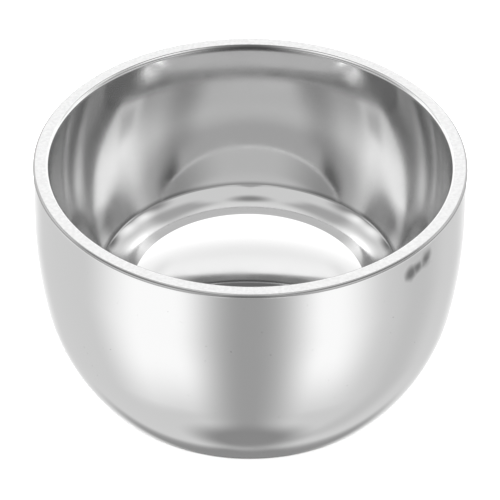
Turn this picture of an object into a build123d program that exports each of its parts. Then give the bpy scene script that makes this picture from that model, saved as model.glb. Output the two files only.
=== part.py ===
from build123d import *
import os
from math import acos, asin, cos, degrees, radians, sin

# Shaving bowl of polished stainless steel with a double wall: a drawn inner
# bowl hangs by its flat lip inside a deeper outer shell, and a pressed plate
# closes the shell underneath. Every piece is round about +Z, in millimetres.
# The origin is the centre of the circle on which the foot rests.

os.makedirs("parts", exist_ok=True)

# ---- Driving dimensions ----

bowl_height = 58.5          # rest plane to the top of the lip
rim_radius = 50.0           # outside of the lip

# Inner bowl
liner_sheet = 0.7
inner_depth = 36.2          # top of the lip down to the inner floor
floor_radius = 27.5         # flat disc of the inner floor
floor_edge_bend = 0.3       # crisp bend round the floor
floor_edge_turn = 8.0       # degrees
floor_ring_arc = 22.9       # dished ring between the floor and the heel
floor_ring_turn = 20.0
heel_bend = 1.5             # tighter bend where the wall begins
heel_turn = 27.0
wall_radius = 59.0          # long arc of the inner wall
mouth_fillet = 0.9          # small roll from the wall out to the lip
lip_edge_fillet = 0.6       # rounded outer edge of the lip

# Bonding ring under the lip
rim_bond_thickness = 0.12
rim_bond_width = 1.4

# Outer shell
shell_sheet = 0.5
shell_setback = 0.1         # the shell's face stands this far inside the lip's edge
flange_width = 2.2          # the shell's top, turned inwards under the lip
flange_fillet = 0.35        # crisp outer bend, sharp inside
straight_depth = 14.0       # top of the lip to where the wall starts to lean in
shoulder_depth = 36.0       # top of the lip to where the belly arc takes over
upper_arc_radius = 125.0
belly_arc_radius = 46.4

# Foot
base_sheet = 0.6
base_seam_height = 1.6      # lower edge of the shell
weld_turn = 0.35            # degrees of the belly arc that the weld takes up
foot_fillet = 1.3
foot_ring_width = 3.4       # from the foot's sharp corner in to the recess's corner
recess_height = 1.0         # underside of the middle above the rest plane
recess_slope_run = 1.4      # radial run of the step up into the recess
recess_fillet = 0.9

# ---- Outline of the outer face ----

lip_underside = bowl_height - liner_sheet
shell_top = lip_underside - rim_bond_thickness
shell_radius = rim_radius - shell_setback
straight_end = bowl_height - straight_depth
shoulder_height = bowl_height - shoulder_depth

# The upper arc leaves the straight wall at a tangent and leans in by this angle.
shoulder_lean = degrees(asin((straight_end - shoulder_height) / upper_arc_radius))
shoulder_radius = shell_radius - upper_arc_radius * (1 - cos(radians(shoulder_lean)))

# The belly arc takes over at the same lean, so its centre lies on that normal.
belly_centre_radius = shoulder_radius - belly_arc_radius * cos(radians(shoulder_lean))
belly_centre_height = shoulder_height + belly_arc_radius * sin(radians(shoulder_lean))
belly_centre = (belly_centre_radius, belly_centre_height)


def belly_lean(height):
    """Lean of the belly arc from the vertical, in degrees, at a height."""
    return degrees(asin((belly_centre_height - height) / belly_arc_radius))


def belly_arc(from_lean, to_lean):
    """The stretch of the belly arc between two leans, drawn downwards."""
    return CenterArc(belly_centre, belly_arc_radius, -from_lean, from_lean - to_lean)


shell_end_lean = belly_lean(base_seam_height)
base_start_lean = shell_end_lean + weld_turn
foot_lean = belly_lean(0)
foot_radius = belly_centre_radius + belly_arc_radius * cos(radians(foot_lean))
ring_inner_radius = foot_radius - foot_ring_width

# ---- Outline of the inner wall ----

floor_height = bowl_height - inner_depth
ring_start_slope = radians(floor_edge_turn)
ring_end_slope = radians(floor_edge_turn + floor_ring_turn)
wall_start_slope = radians(floor_edge_turn + floor_ring_turn + heel_turn)

floor_edge_rise = floor_edge_bend * (1 - cos(ring_start_slope))
ring_rise = floor_ring_arc * (cos(ring_start_slope) - cos(ring_end_slope))
heel_rise = heel_bend * (cos(ring_end_slope) - cos(wall_start_slope))
wall_rise = inner_depth - floor_edge_rise - ring_rise - heel_rise

# The wall arc carries on from the heel and ends at the lip, almost upright.
wall_end_slope = acos(cos(wall_start_slope) - wall_rise / wall_radius)
wall_turn = degrees(wall_end_slope - wall_start_slope)

# ---- Inner bowl with its flat lip ----

with BuildPart() as inner_liner:
    with BuildSketch(Plane.XZ) as liner_profile:
        with BuildLine():
            floor = Line((0, floor_height), (floor_radius, floor_height))
            floor_edge = JernArc(floor @ 1, floor % 1, floor_edge_bend, floor_edge_turn)
            ring = JernArc(floor_edge @ 1, floor_edge % 1, floor_ring_arc, floor_ring_turn)
            heel = JernArc(ring @ 1, ring % 1, heel_bend, heel_turn)
            wall = JernArc(heel @ 1, heel % 1, wall_radius, wall_turn)
            lip = Line(wall @ 1, (rim_radius, bowl_height))
            fillet(lip.vertices().sort_by(Axis.X)[0], mouth_fillet)
            offset(amount=liner_sheet, side=Side.RIGHT)
        make_face()
        lip_corner = liner_profile.vertices().group_by(Axis.X)[-1].sort_by(Axis.Y)[-1]
        fillet(lip_corner, lip_edge_fillet)
    revolve(axis=Axis.Z)
inner_liner.part.label = "inner_liner"
export_step(inner_liner.part, "parts/inner_liner.step")

# ---- Bonding ring between the lip and the flat of the shell's flange ----

bond_outer_radius = shell_radius - flange_fillet

with BuildPart() as rim_bond:
    with BuildSketch(Plane.XY.offset(shell_top)):
        Circle(bond_outer_radius)
        Circle(bond_outer_radius - rim_bond_width, mode=Mode.SUBTRACT)
    extrude(amount=rim_bond_thickness)
rim_bond.part.label = "rim_bond"
export_step(rim_bond.part, "parts/rim_bond.step")

# ---- Outer shell: inward flange, straight wall, two arcs down to its open bottom ----

with BuildPart() as outer_shell:
    with BuildSketch(Plane.XZ):
        with BuildLine():
            flange = Line((shell_radius - flange_width, shell_top), (shell_radius, shell_top))
            straight = Line(flange @ 1, (shell_radius, straight_end))
            JernArc(straight @ 1, straight % 1, upper_arc_radius, -shoulder_lean)
            belly_arc(shoulder_lean, shell_end_lean)
            fillet(straight.vertices().sort_by(Axis.Y)[-1], flange_fillet)
            offset(amount=shell_sheet, side=Side.RIGHT)
        make_face()
    revolve(axis=Axis.Z)
outer_shell.part.label = "outer_shell"
export_step(outer_shell.part, "parts/outer_shell.step")

# ---- Weld that joins the shell's lower edge to the base plate ----

with BuildPart() as base_weld:
    with BuildSketch(Plane.XZ):
        with BuildLine():
            belly_arc(shell_end_lean, base_start_lean)
            offset(amount=shell_sheet, side=Side.RIGHT)
        make_face()
    revolve(axis=Axis.Z)
base_weld.part.label = "base_weld"
export_step(base_weld.part, "parts/base_weld.step")

# ---- Base plate: pressed disc with a foot ring and a recessed middle ----

with BuildPart() as base_plate:
    with BuildSketch(Plane.XZ):
        with BuildLine():
            heel = belly_arc(base_start_lean, foot_lean)
            ring = Line(heel @ 1, (ring_inner_radius, 0))
            step = Line(ring @ 1, (ring_inner_radius - recess_slope_run, recess_height))
            middle = Line(step @ 1, (0, recess_height))
            fillet(ring.vertices().sort_by(Axis.X)[-1], foot_fillet)
            fillet(step.vertices(), recess_fillet)
            offset(amount=base_sheet, side=Side.RIGHT)
        make_face()
    revolve(axis=Axis.Z)
base_plate.part.label = "base_plate"
export_step(base_plate.part, "parts/base_plate.step")
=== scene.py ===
import math

import bpy
from mathutils import Matrix, Vector


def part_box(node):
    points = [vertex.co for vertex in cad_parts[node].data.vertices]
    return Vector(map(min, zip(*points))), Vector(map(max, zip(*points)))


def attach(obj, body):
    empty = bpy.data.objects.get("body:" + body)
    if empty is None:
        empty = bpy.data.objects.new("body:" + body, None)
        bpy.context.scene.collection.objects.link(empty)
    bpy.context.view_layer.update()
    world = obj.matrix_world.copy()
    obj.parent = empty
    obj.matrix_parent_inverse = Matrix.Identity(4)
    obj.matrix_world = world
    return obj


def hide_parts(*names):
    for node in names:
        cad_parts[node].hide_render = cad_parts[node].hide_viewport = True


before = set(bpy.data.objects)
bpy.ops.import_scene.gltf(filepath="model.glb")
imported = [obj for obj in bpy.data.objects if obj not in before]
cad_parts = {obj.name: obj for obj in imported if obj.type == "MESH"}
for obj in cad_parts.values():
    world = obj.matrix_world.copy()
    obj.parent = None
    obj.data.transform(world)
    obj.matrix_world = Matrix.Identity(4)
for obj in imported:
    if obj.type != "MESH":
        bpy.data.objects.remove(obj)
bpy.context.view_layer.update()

MM = 0.001
BODY = "root"
SEGMENTS = 240     # flats round a turned piece


def low_mm(node):
    """A CAD node's lowest corner, in millimetres."""
    return [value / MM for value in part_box(node)[0]]


def high_mm(node):
    """A CAD node's highest corner, in millimetres."""
    return [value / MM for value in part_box(node)[1]]


# ---------------------------------------------------------------------------
# Outlines: a pen that draws in the (radius, height) half-plane, in millimetres
# ---------------------------------------------------------------------------


class Outline:
    """A lathe outline. The steel lies on the pen's right, so normals point left."""

    def __init__(self, radius, height, heading=0.0):
        self.radius, self.height = radius, height
        self.heading = math.radians(heading)
        self.points = []
        self.mark()

    def mark(self):
        self.points.append((self.radius, self.height, self.heading))

    def line(self, length, step=1.0):
        """Straight ahead, in even steps."""
        count = max(1, math.ceil(length / step))
        for _ in range(count):
            self.radius += math.cos(self.heading) * length / count
            self.height += math.sin(self.heading) * length / count
            self.mark()
        return self

    def line_to_radius(self, radius):
        """Straight ahead until the pen reaches a radius."""
        return self.line((radius - self.radius) / math.cos(self.heading))

    def line_to_height(self, height):
        """Straight ahead until the pen reaches a height."""
        return self.line((height - self.height) / math.sin(self.heading))

    def arc(self, radius, turn, step=1.0):
        """A round stretch that turns the pen by some degrees, left when positive."""
        bend = math.copysign(radius, turn)
        centre_radius = self.radius - math.sin(self.heading) * bend
        centre_height = self.height + math.cos(self.heading) * bend
        count = max(4, math.ceil(abs(turn) / step))
        start = self.heading
        for i in range(1, count + 1):
            self.heading = start + math.radians(turn) * i / count
            self.radius = centre_radius + math.sin(self.heading) * bend
            self.height = centre_height - math.cos(self.heading) * bend
            self.mark()
        return self


EDGE = 0.05      # softened edge of a sheet's end, in millimetres


def round_end(outline, thickness, tip):
    """Takes an outline round the end of its sheet, the near edge rounded by tip."""
    radius, height, heading = outline.pop()
    pen = Outline(radius - math.cos(heading) * tip, height - math.sin(heading) * tip, math.degrees(heading))
    pen.arc(tip, -90, 10).line(thickness - tip - EDGE).arc(EDGE, -90, 30)
    outline.extend(pen.points)


def meeting(first, second):
    """Where the tangents at two outline points cross, with a mitred heading."""
    (r1, h1, t1), (r2, h2, t2) = first, second
    along = ((r2 - r1) * math.sin(t2) - (h2 - h1) * math.cos(t2)) / math.sin(t2 - t1)
    return (r1 + math.cos(t1) * along, h1 + math.sin(t1) * along, (t1 + t2) / 2)


def sheet(face, thickness, tip=EDGE):
    """Closes the outline of a face into sheet steel of an even thickness."""
    outline = list(face.points)
    round_end(outline, thickness, tip)
    # The back runs home a sheet's thickness behind the face. Inside a bend that
    # is tighter than the sheet it closes to a corner.
    skipped = False
    for radius, height, heading in reversed(face.points[:-1]):
        r = radius + math.sin(heading) * thickness
        h = height - math.cos(heading) * thickness
        if min(math.hypot(r - p[0], h - p[1]) for p in face.points) < thickness * 0.99:
            skipped = True
            continue
        back = (r, h, heading + math.pi)
        if skipped:
            outline.append(meeting(outline[-1], back))
            skipped = False
        outline.append(back)
    if face.points[0][0] > EDGE:
        round_end(outline, thickness, EDGE)
    return outline


def lathe(name, outline):
    """Turns an outline about +Z into one closed mesh with exact normals."""
    vertices, normals, rings = [], [], []
    for radius, height, heading in outline:
        across, up = -math.sin(heading), math.cos(heading)
        pole = radius < 1e-6
        rings.append([])
        for i in range(1 if pole else SEGMENTS):
            x, y = math.cos(2 * math.pi * i / SEGMENTS), math.sin(2 * math.pi * i / SEGMENTS)
            rings[-1].append(len(vertices))
            vertices.append((radius * x * MM, radius * y * MM, height * MM))
            normals.append((0, 0, up) if pole else (across * x, across * y, up))
    pairs = list(zip(rings, rings[1:]))
    if len(rings[0]) > 1:
        pairs.append((rings[-1], rings[0]))
    faces = []
    for near, far in pairs:
        for i in range(SEGMENTS):
            j = (i + 1) % SEGMENTS
            corners = (near[i % len(near)], far[i % len(far)], far[j % len(far)], near[j % len(near)])
            faces.append(tuple(dict.fromkeys(corners)))
    mesh = bpy.data.meshes.new(name)
    mesh.from_pydata(vertices, [], faces)
    mesh.shade_smooth()
    mesh.normals_split_custom_set_from_vertices(normals)
    piece = bpy.data.objects.new(name, mesh)
    bpy.context.scene.collection.objects.link(piece)
    return piece


# ---------------------------------------------------------------------------
# The five pieces, from the CAD nodes' boxes and the bowl's own radii
# ---------------------------------------------------------------------------

LINER_SHEET = 0.7
SHELL_SHEET = 0.5
BASE_SHEET = 0.6

rim_radius = high_mm("inner_liner")[0]
bowl_height = high_mm("inner_liner")[2]
floor_height = low_mm("inner_liner")[2] + LINER_SHEET
shell_radius = high_mm("outer_shell")[0]
shell_top = high_mm("outer_shell")[2]

FLOOR_RADIUS = 27.5
FLOOR_BENDS = ((0.3, 8.0), (22.9, 20.0), (1.5, 27.0))      # crisp edge, dished ring and heel
WALL_ARC, MOUTH_FILLET, LIP_EDGE = 59.0, 0.9, 0.6


def liner_outline():
    """Flat floor, the bends round it, long wall arc, mouth roll and flat lip."""
    face = Outline(0.0, floor_height).line_to_radius(FLOOR_RADIUS)
    for radius, turn in FLOOR_BENDS:
        face.arc(radius, turn)
    slope = math.degrees(face.heading)
    climb = bowl_height - face.height
    # The wall arc stops where the mouth roll can take over and end at the lip's height.
    end_cosine = (WALL_ARC * math.cos(face.heading) + MOUTH_FILLET - climb) / (WALL_ARC + MOUTH_FILLET)
    steepest = math.degrees(math.acos(end_cosine))
    face.arc(WALL_ARC, steepest - slope).arc(MOUTH_FILLET, -steepest, 4)
    face.line_to_radius(rim_radius)
    return sheet(face, LINER_SHEET, LIP_EDGE)


STRAIGHT_DEPTH, SHOULDER_DEPTH = 14.0, 36.0      # below the top of the lip
UPPER_ARC, BELLY_ARC = 125.0, 46.4
SEAM_HEIGHT, WELD_TURN = 1.6, 0.35

shoulder_lean = math.degrees(math.asin((SHOULDER_DEPTH - STRAIGHT_DEPTH) / UPPER_ARC))
shoulder_radius = shell_radius - UPPER_ARC * (1 - math.cos(math.radians(shoulder_lean)))
belly_radius = shoulder_radius - BELLY_ARC * math.cos(math.radians(shoulder_lean))
belly_height = bowl_height - SHOULDER_DEPTH + BELLY_ARC * math.sin(math.radians(shoulder_lean))
seam_lean = math.degrees(math.asin((belly_height - SEAM_HEIGHT) / BELLY_ARC))
# Where the belly arc would meet the rest plane.
sharp_foot_radius = belly_radius + math.sqrt(BELLY_ARC**2 - belly_height**2)


def on_belly(lean):
    """A pen on the belly arc, heading down it, where the arc leans by some degrees."""
    angle = math.radians(lean)
    radius = belly_radius + BELLY_ARC * math.cos(angle)
    return Outline(radius, belly_height - BELLY_ARC * math.sin(angle), -90 - lean)


def shell_outline():
    """Inward flange, tight bend, straight wall, gentle upper arc and belly arc."""
    flange_width, flange_fillet = 2.2, 0.35
    face = Outline(shell_radius - flange_width, shell_top).line_to_radius(shell_radius - flange_fillet)
    face.arc(flange_fillet, -90, 5).line_to_height(bowl_height - STRAIGHT_DEPTH)
    face.arc(UPPER_ARC, -shoulder_lean, 0.25).arc(BELLY_ARC, shoulder_lean - seam_lean, 0.5)
    return sheet(face, SHELL_SHEET)


def weld_outline():
    """The stretch of the belly arc between the shell and the base plate."""
    return sheet(on_belly(seam_lean).arc(BELLY_ARC, -WELD_TURN), SHELL_SHEET)


def base_outline():
    """End of the belly arc, foot corner, foot ring and recessed middle."""
    foot_fillet, ring_width = 1.3, 3.4
    recess_run, recess_height, recess_fillet = 1.4, 1.0, 0.9
    start_lean = seam_lean + WELD_TURN
    # The foot corner is tangent to the belly arc and to the rest plane.
    foot_lean = math.degrees(math.asin((belly_height - foot_fillet) / (BELLY_ARC - foot_fillet)))
    ring_inner_radius = sharp_foot_radius - ring_width
    slope = math.degrees(math.atan2(recess_height, recess_run))
    setback = recess_fillet * math.tan(math.radians(slope / 2))
    face = on_belly(start_lean).arc(BELLY_ARC, start_lean - foot_lean).arc(foot_fillet, foot_lean - 90, 3)
    face.line_to_radius(ring_inner_radius + setback).arc(recess_fillet, -slope, 3)
    face.line(math.hypot(recess_run, recess_height) - 2 * setback).arc(recess_fillet, slope, 3)
    face.line_to_radius(0.0)
    return sheet(face, BASE_SHEET)


BOND_WIDTH = 1.4


def bond_outline():
    """A thin flat ring with sharp corners that fills the joint between lip and flange."""
    bottom, top = low_mm("rim_bond")[2], high_mm("rim_bond")[2]
    outer = high_mm("rim_bond")[0]
    inner = outer - BOND_WIDTH
    outline = Outline(inner, top).line_to_radius(outer).points
    outline += Outline(outer, top, -90).line(top - bottom).points
    outline += Outline(outer, bottom, 180).line(BOND_WIDTH).points
    outline += Outline(inner, bottom, 90).line(top - bottom).points
    return outline


# ---------------------------------------------------------------------------
# Node trees
# ---------------------------------------------------------------------------


class Nodes:
    """Adds shader nodes to a tree. An input may be a number, a node or its output."""

    def __init__(self, tree):
        self.tree = tree
        tree.nodes.clear()

    def add(self, kind, inputs=None, **settings):
        node = self.tree.nodes.new("ShaderNode" + kind)
        for key, value in settings.items():
            setattr(node, key, value)
        for key, value in (inputs or {}).items():
            if isinstance(value, bpy.types.Node):
                value = value.outputs[0]
            if isinstance(value, bpy.types.NodeSocket):
                self.tree.links.new(value, node.inputs[key])
            else:
                node.inputs[key].default_value = value
        return node

    def math(self, operation, *values):
        return self.add("Math", dict(enumerate(values)), operation=operation)

    def fade(self, value, start, end, low=0.0, high=1.0):
        """low before start, high after end, and a smooth step between them."""
        limits = {"Value": value, "From Min": start, "From Max": end, "To Min": low, "To Max": high}
        return self.add("MapRange", limits, interpolation_type="SMOOTHSTEP")

    def mix(self, first, second, share):
        """first where share is 0, second where it is 1."""
        return self.math("MULTIPLY_ADD", share, self.math("SUBTRACT", second, first), first)

    def both(self, first, second):
        """1 where both masks are 1."""
        return self.math("MULTIPLY", first, second)

    def band(self, value, low, high, soft):
        """1 between low and high, 0 outside, with soft edges."""
        above = self.fade(value, low - soft, low + soft)
        return self.both(above, self.fade(value, high + soft, high - soft))


class Metal(Nodes):
    """A metal's nodes, with where a point is on a turned part: radius and height in mm, and bearing."""

    def __init__(self, name, colour, metallic=1.0):
        self.material = bpy.data.materials.new(name)
        self.material.use_nodes = True
        super().__init__(self.material.node_tree)
        place = self.add("SeparateXYZ", {0: self.add("TexCoord").outputs["Object"]})
        self.x, self.y, self.height = [self.math("DIVIDE", place.outputs[i], MM) for i in range(3)]
        self.place = self.add("CombineXYZ", {0: self.x, 1: self.y, 2: self.height})
        squares = [self.math("MULTIPLY", side, side) for side in (self.x, self.y)]
        self.radius = self.math("SQRT", self.math("ADD", *squares))
        safe = self.math("MAXIMUM", self.radius, 0.01)
        self.bearing = [self.math("DIVIDE", self.x, safe), self.math("DIVIDE", self.y, safe)]
        self.shader = self.add("BsdfPrincipled", {"Metallic": metallic, "Base Color": (*colour, 1)})
        self.add("OutputMaterial", {"Surface": self.shader})
        self.normal = None

    def noise(self, around, out, up, detail=2.0):
        """Noise with so many features per unit of bearing, per mm of radius and per mm of height."""
        x, y = [self.math("MULTIPLY", side, around) for side in self.bearing]
        x = self.math("ADD", x, self.math("MULTIPLY", self.radius, out))
        z = self.math("MULTIPLY", self.height, up)
        vector = self.add("CombineXYZ", {0: x, 1: y, 2: z})
        return self.add("TexNoise", {"Vector": vector, "Scale": 1.0, "Detail": detail})

    def mottle(self, size, detail=2.0):
        """Even noise with features of about a size in mm."""
        return self.add("TexNoise", {"Vector": self.place, "Scale": 1 / size, "Detail": detail})

    def bump(self, height, depth):
        """Adds relief of some micrometres over what is there already."""
        inputs = {"Height": height, "Distance": depth * MM * MM}
        if self.normal:
            inputs["Normal"] = self.normal
        self.normal = self.add("Bump", inputs)

    def done(self, roughness, tint=None):
        """Joins the finished nodes to the shader. A tint, if given, replaces the plain colour."""
        ends = {"Roughness": roughness, "Normal": self.normal, "Base Color": tint}
        for name, node in ends.items():
            if node:
                self.tree.links.new(node.outputs[0], self.shader.inputs[name])
        return self.material


STEEL = (0.80, 0.80, 0.80)
HEEL_RADIUS = 35.9        # where the ring round the floor turns up into the wall
LIP_RADIUS = 46.95        # inner edge of the lip's satin face

# A painted dark reflection just below the lip, in front on the right: overlapping round spots.
DARK_REFLECTION_SPOTS = (
    # bearing, depth below the lip's top, radius
    (46.5, 5.6, 2.8),
    (49.0, 5.0, 2.6),
    (52.5, 4.4, 3.0),
)


def shell_steel():
    """Mirror-polished steel with upright hairlines, faint smudges, a few specks and one painted dark
    reflection.
    """
    metal = Metal("polished_shell_steel", STEEL)
    ragged = metal.fade(metal.mottle(4), 0.3, 0.7, -0.5, 0.5)
    # The painted dark reflection below the lip: the steel's colour is darkened round each spot.
    mark = 0
    for bearing, depth, size in DARK_REFLECTION_SPOTS:
        turn = math.radians(bearing)
        spot = (shell_radius * math.sin(turn), -shell_radius * math.cos(turn), bowl_height - depth)
        away = metal.add("VectorMath", {0: metal.place, 1: spot}, operation="DISTANCE").outputs["Value"]
        mark = metal.math("MAXIMUM", mark, metal.fade(metal.math("ADD", away, ragged), size, 0))
    speck = metal.fade(metal.mottle(1.1), 0.735, 0.79)
    tint = metal.mix(metal.mix(0.8, 0.25, mark), 0.6, speck)
    metal.bump(metal.noise(170, 0, 0.035, 1), 0.25)
    metal.bump(metal.mottle(9), 6)
    smudge = metal.fade(metal.mottle(14, 4), 0.5, 0.7, 0, 0.06)
    lines = metal.fade(metal.noise(330, 0, 0.06), 0.58, 0.72, 0, 0.05)
    return metal.done(metal.math("ADD", metal.math("ADD", smudge, lines), 0.07), tint)


def wall_painted_light(metal):
    """Painted light on the liner's wall: brighter low down, dimmer towards the mouth, with a brighter roll.
    """
    # Painted light and shade: brighter low on the wall, darker towards the mouth.
    tint = metal.fade(metal.height, bowl_height - 21, bowl_height - 10, 0.92, 0.62)
    tint = metal.mix(tint, 0.78, metal.fade(metal.height, bowl_height - 1.0, bowl_height - 0.8))
    # A painted dark reflection on the roll at the back.
    across = metal.both(metal.band(metal.x, -13, 11, 8), metal.fade(metal.y, 30, 35))
    roll = metal.fade(metal.height, bowl_height - 1.7, bowl_height - 0.9)
    tint = metal.mix(tint, 0.15, metal.both(across, roll))
    # Painted shade above the heel, on both sides towards the back.
    sides = metal.band(metal.bearing[1], 0.24, 0.48, 0.08)
    low = metal.band(metal.height, bowl_height - 31.5, bowl_height - 27, 1.5)
    return metal.mix(tint, 0.62, metal.both(sides, low))


def ring_painted_light(metal):
    """Painted light on the dished ring: painted dim, with a painted highlight next to the floor on both
    sides towards the back.
    """
    # Painted shade: the ring dimmer than plain steel.
    tint = metal.fade(metal.radius, 30, 32, 0.54, 0.47)
    # Painted highlight next to the floor, on both sides towards the back.
    sides = metal.band(metal.bearing[1], 0.38, 0.56, 0.1)
    return metal.mix(tint, 0.95, metal.both(sides, metal.fade(metal.radius, 32, 29)))


def lip_mottle_and_painted_shade(metal, tint, lip, top):
    """Lays the mottled lip over a tint, with painted shade on the outer edge in front and a thin painted
    shade line behind.
    """
    tint = metal.mix(tint, metal.fade(metal.mottle(0.8), 0.3, 0.7, 0.77, 0.85), lip)
    # Painted shade: the lip's outer edge darker in front.
    edge = metal.fade(metal.radius, rim_radius - 0.6, rim_radius - 0.4)
    tint = metal.mix(tint, 0.42, metal.both(edge, metal.fade(metal.y, 35, 10)))
    # Painted shade: a thin dark line at the lip's inner edge, behind.
    line = metal.both(metal.band(metal.radius, LIP_RADIUS - 0.12, LIP_RADIUS + 0.06, 0.04), top)
    return metal.mix(tint, 0.2, metal.both(line, metal.fade(metal.y, 10, 30)))


def liner_steel():
    """Satin lip, brushed wall with upright draw lines, polished ring and a turned mirror floor."""
    metal = Metal("liner_steel", STEEL)
    # Masks for the parts of the face.
    floor = metal.fade(metal.radius, FLOOR_RADIUS + 0.1, FLOOR_RADIUS - 0.1)
    ring = metal.fade(metal.radius, HEEL_RADIUS + 0.3, HEEL_RADIUS - 0.3)
    top = metal.fade(metal.height, bowl_height - 0.12, bowl_height - 0.04)
    lip = metal.both(metal.fade(metal.radius, LIP_RADIUS - 0.05, LIP_RADIUS + 0.05), top)
    # Relief: draw lines up the wall, turning rings on the floor and grain on the lip.
    metal.bump(metal.math("MULTIPLY", metal.noise(70, 0, 0.03), metal.math("SUBTRACT", 1, ring)), 2.6)
    metal.bump(metal.math("MULTIPLY", metal.noise(0.6, 4.5, 0), floor), 0.2)
    metal.bump(metal.math("MULTIPLY", metal.mottle(0.35), lip), 5)
    roughness = metal.fade(metal.mottle(11, 3), 0.3, 0.7, 0.07, 0.12)
    roughness = metal.mix(roughness, metal.fade(metal.mottle(6, 3), 0.3, 0.7, 0.05, 0.09), ring)
    roughness = metal.mix(roughness, 0.02, floor)
    roughness = metal.mix(roughness, 0.45, lip)
    tint = metal.mix(metal.mix(wall_painted_light(metal), ring_painted_light(metal), ring), 0.92, floor)
    return metal.done(roughness, lip_mottle_and_painted_shade(metal, tint, lip, top))


def weld_steel():
    """The ground bead of the seam."""
    metal = Metal("ground_weld_steel", STEEL)
    metal.bump(metal.noise(90, 0, 3), 3)
    return metal.done(metal.fade(metal.mottle(1.5), 0.3, 0.7, 0.12, 0.25))


def base_steel():
    """Polished round the foot and satin, with turning rings, underneath."""
    metal = Metal("turned_base_steel", STEEL)
    under = metal.fade(metal.radius, sharp_foot_radius - 1, sharp_foot_radius - 2)
    metal.bump(metal.math("MULTIPLY", metal.noise(0.5, 6, 0), under), 0.8)
    satin = metal.fade(metal.mottle(8, 3), 0.3, 0.7, 0.22, 0.34)
    return metal.done(metal.mix(0.09, satin, under))


def bond_resin():
    """Dark bonding resin, seen only as a seam."""
    resin = Metal("dark_bond_resin", (0.035, 0.034, 0.032), metallic=0.0)
    resin.bump(resin.mottle(0.3), 20)
    return resin.done(resin.fade(resin.mottle(0.8), 0.3, 0.7, 0.45, 0.65))


# ---------------------------------------------------------------------------
# The bowl
# ---------------------------------------------------------------------------

for node, outline, material, slot in (
    ("inner_liner", liner_outline(), liner_steel(), "liner_steel"),
    ("outer_shell", shell_outline(), shell_steel(), "shell_steel"),
    ("rim_bond", bond_outline(), bond_resin(), "rim_bond"),
    ("base_weld", weld_outline(), weld_steel(), "weld_steel"),
    ("base_plate", base_outline(), base_steel(), "base_steel"),
):
    piece = lathe(node + "_mesh", outline)
    piece.data.materials.append(material)
    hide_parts(node)
    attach(piece, BODY)

# ---------------------------------------------------------------------------
# The studio
# ---------------------------------------------------------------------------

# Cards are bright and flags are dark. Each is laid over the ones before it. A bearing
# is in degrees from the camera towards the bowl's right, and a height is an elevation.

# What the steel sees below the horizon, and above it in one reflection.
FIRST_PANELS = (
    # brightness, bearing, half width, its softness, lowest, highest, their softness
    (0.73, 0, 180, 1, -120, -4, 4),       # pale surround
    (0.64, 104, 14, 12, -120, -8, 8),     # dim right side
    (1.06, 180, 22, 16, -46, -8, 6),      # glow behind
    (0.50, 158, 12, 8, -72, -54, 5),      # dark right corner behind
    (0.50, -158, 12, 8, -72, -54, 5),     # dark left corner behind
    (1.19, -49, 32, 20, -55, -2, 10),     # left front card
    (1.19, 44, 21, 18, -54, -2, 10),      # right front card
    (0.40, 0, 22, 20, -120, 0, 3),        # the camera's gap
    (0.30, 180, 30, 15, -80, -55, 5),     # dark floor behind
    (1.10, 0, 95, 15, -3, 11, 2),         # bright sill
    (0.12, 0, 10, 5, -3, 11, 2),          # the camera
    (0.27, 0, 95, 10, 12, 37, 2),         # dark front corners
    (0.48, 0, 34, 20, 12, 37, 2),         # front wall
    (0.52, 0, 44, 20, 28.5, 38, 2),       # its upper half
    (0.60, 0, 122, 10, 38, 58, 3),        # shade over it
    (1.10, 0, 26, 16, 38, 90, 3),         # tall card over the camera
    (0.70, 0, 10, 5, 38, 85, 2),          # the camera's stand
    (0.75, 143, 14, 8, 56, 71, 3),        # grey right side behind
    (0.75, -143, 14, 8, 56, 71, 3),       # grey left side behind
    (1.90, 156, 10, 6, 41, 53, 4),        # right back card
    (1.90, -156, 10, 6, 41, 53, 4),       # left back card
    (1.30, 180, 40, 12, -4, 40, 4),       # pale backdrop
    (0.14, 180, 7, 3, 31, 42, 2),         # dark doorway over it
)
FIRST_SPOTS = (
    # brightness, bearing, elevation, radius, softness
    (0.30, 0, -85, 13, 6),                # dark floor below
    (0.50, 180, 76.7, 4, 3),              # dark lens overhead
    (0.50, 112, 58, 5, 4),                # dark posts beside the side lamps
    (0.50, -112, 58, 5, 4),
    (0.40, 121, 47, 3.5, 3),
    (0.40, -121, 47, 3.5, 3),
    (0.30, 134, 37, 4, 3),
    (0.30, -134, 37, 4, 3),
    (2.00, 125, 54, 3, 4),                # side lamps
    (2.00, -125, 54, 3, 4),
    (2.00, 131, 47, 3, 4),
    (2.00, -131, 47, 3, 4),
)

# What it sees above the horizon in two reflections.
AGAIN_PANELS = (
    # brightness, bearing, half width, its softness, lowest, highest, their softness
    (0.85, 180, 62, 20, 46, 70, 8),       # pale wall behind
    (0.40, 98, 18, 16, 28, 50, 6),        # shade on the right
    (0.40, -98, 18, 16, 28, 50, 6),       # shade on the left
    (0.12, 80, 16, 8, 15, 28, 3),         # dark low corners
    (0.12, -80, 16, 8, 15, 28, 3),
    (0.95, 0, 46, 16, 31, 37.4, 1.5),     # front lamp
    (0.92, 0, 36, 10, 27, 33, 2),         # its lower part
    (0.28, 0, 42, 12, 38.4, 45.6, 0.5),   # dark frame over them
)
AGAIN_SPOTS = (
    (1.30, 69, 54.5, 3, 5),               # right corner lamp
    (1.30, -69, 54.5, 3, 5),              # left corner lamp
)

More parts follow.
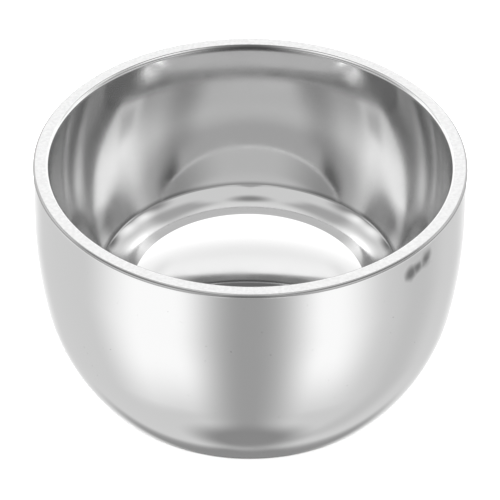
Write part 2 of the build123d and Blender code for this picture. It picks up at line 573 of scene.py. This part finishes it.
# What it sees above the horizon in more reflections.
LATER_PANELS = (
    (0.80, 0, 180, 1, 58, 100, 3),        # grey ceiling
    (0.80, 180, 75, 20, 44, 60, 4),       # and its lower edge behind
    (0.85, 0, 16, 14, 33.5, 38.5, 2),     # front lamp
    (0.80, 75, 20, 15, 24, 31, 2),        # low right lamp
    (0.80, -75, 20, 15, 24, 31, 2),       # low left lamp
    (0.72, 48, 14, 10, 42, 61, 3),        # dark right corner
    (0.72, -48, 14, 10, 42, 61, 3),       # dark left corner
)
LATER_SPOTS = (
    (5.00, 30, 63, 1.5, 3),               # high right lamp
    (5.00, -28, 63.5, 1.5, 3),            # high left lamp
)


# Brightness where nothing is laid, for each of the three, and what the camera and the floor see.
FIRST_BASE, AGAIN_BASE, LATER_BASE = 1.25, 0.60, 0.38
SURROUND = 3.4


class Studio(Nodes):
    """The world: white to the camera, even to the floor, and cards and flags to the steel."""

    def __init__(self, tree):
        super().__init__(tree)
        self.ray = self.add("TexCoord").outputs["Generated"]
        x, y, z = self.add("SeparateXYZ", {0: self.ray}).outputs
        self.bearing = self.math("DEGREES", self.math("ARCTAN2", x, self.math("MULTIPLY", y, -1)))
        self.elevation = self.math("DEGREES", self.math("ARCSINE", z))

    def panels(self, light, rows):
        for brightness, middle, half_width, side_soft, low, high, end_soft in rows:
            share = self.band(self.elevation, low, high, end_soft)
            if half_width < 180:
                turned = self.math("WRAP", self.math("SUBTRACT", self.bearing, middle), 180, -180)
                offset = self.math("ABSOLUTE", turned)
                side = self.fade(offset, half_width + side_soft, half_width - side_soft)
                share = self.math("MULTIPLY", share, side)
            light = self.mix(light, brightness, share)
        return light

    def spots(self, light, rows):
        for brightness, bearing, elevation, radius, soft in rows:
            around, up = math.radians(bearing), math.radians(elevation)
            aim = (math.sin(around) * math.cos(up), -math.cos(around) * math.cos(up), math.sin(up))
            near = self.add("VectorMath", {0: self.ray, 1: aim}, operation="DOT_PRODUCT").outputs["Value"]
            angle = self.math("DEGREES", self.math("ARCCOSINE", near))
            light = self.mix(light, brightness, self.fade(angle, radius + soft, radius - soft))
        return light

    def overhead(self, light):
        """The overhead bank. Its edge is lower in front than behind, and it is brightest there."""
        front = self.math("COSINE", self.math("RADIANS", self.bearing))
        above = self.math("SUBTRACT", self.elevation, self.math("MULTIPLY_ADD", front, -7.3, 53.2))
        bank = self.fade(self.elevation, 50, 66, 1.55, 1.35)
        return self.mix(light, bank, self.fade(above, -0.4, 0.4))


def studio():
    world = bpy.context.scene.world or bpy.data.worlds.new("studio")
    bpy.context.scene.world = world
    world.use_nodes = True
    world.cycles.sampling_method = "NONE"
    nodes = Studio(world.node_tree)
    first = nodes.spots(nodes.panels(FIRST_BASE, FIRST_PANELS), FIRST_SPOTS)
    again = nodes.spots(nodes.overhead(nodes.panels(AGAIN_BASE, AGAIN_PANELS)), AGAIN_SPOTS)
    later = nodes.spots(nodes.panels(LATER_BASE, LATER_PANELS), LATER_SPOTS)
    # A ray's depth counts its reflections and one more.
    path = nodes.add("LightPath")
    two_or_more = nodes.math("GREATER_THAN", path.outputs["Ray Depth"], 2.5)
    three_or_more = nodes.math("GREATER_THAN", path.outputs["Ray Depth"], 3.5)
    share = nodes.both(two_or_more, nodes.fade(nodes.elevation, 0, 12))
    light = nodes.mix(first, nodes.mix(again, later, three_or_more), share)
    strength = nodes.mix(SURROUND, light, path.outputs["Is Glossy Ray"])
    background = nodes.add("Background", {"Color": (1, 1, 1, 1), "Strength": strength})
    nodes.add("OutputWorld", {"Surface": background})


def floor():
    """A plain pale floor, left out of the steel's reflections."""
    half = 3.0
    mesh = bpy.data.meshes.new("studio_floor")
    corners = [(-half, -half, 0), (half, -half, 0), (half, half, 0), (-half, half, 0)]
    mesh.from_pydata(corners, [], [(0, 1, 2, 3)])
    plane = bpy.data.objects.new("studio_floor", mesh)
    bpy.context.scene.collection.objects.link(plane)
    plane.visible_glossy = False
    paper = Metal("studio_paper", (0.9, 0.9, 0.9), metallic=0.0)
    paper.shader.inputs["Specular IOR Level"].default_value = 0
    mesh.materials.append(paper.done(paper.fade(paper.mottle(2), 0, 1, 0.9, 1.0)))


def camera():
    """A long lens that looks down into the bowl, the rim above the middle of the frame."""
    looks_down, distance = 36.35, 0.9      # on the line to the rim's centre, in degrees and metres
    below_rim, roll = 1.307, 0.5           # degrees
    right_of_axis = 0.0001
    data = bpy.data.cameras.new("camera")
    data.sensor_width, data.lens = 36.0, 281.8
    eye = bpy.data.objects.new("camera", data)
    bpy.context.scene.collection.objects.link(eye)
    tilt = math.radians(looks_down)
    rim = Vector((right_of_axis, 0, bowl_height * MM))
    place = rim + distance * Vector((0, -math.cos(tilt), math.sin(tilt)))
    turn = Matrix.Rotation(math.radians(90 - looks_down - below_rim), 4, "X")
    eye.matrix_world = Matrix.Translation(place) @ turn @ Matrix.Rotation(math.radians(roll), 4, "Z")
    bpy.context.scene.camera = eye


studio()
floor()
camera()
bpy.context.scene.view_settings.view_transform = "Standard"
# Light crosses the bowl many times between its side walls.
bpy.context.scene.cycles.max_bounces = 16
bpy.context.scene.cycles.glossy_bounces = 16
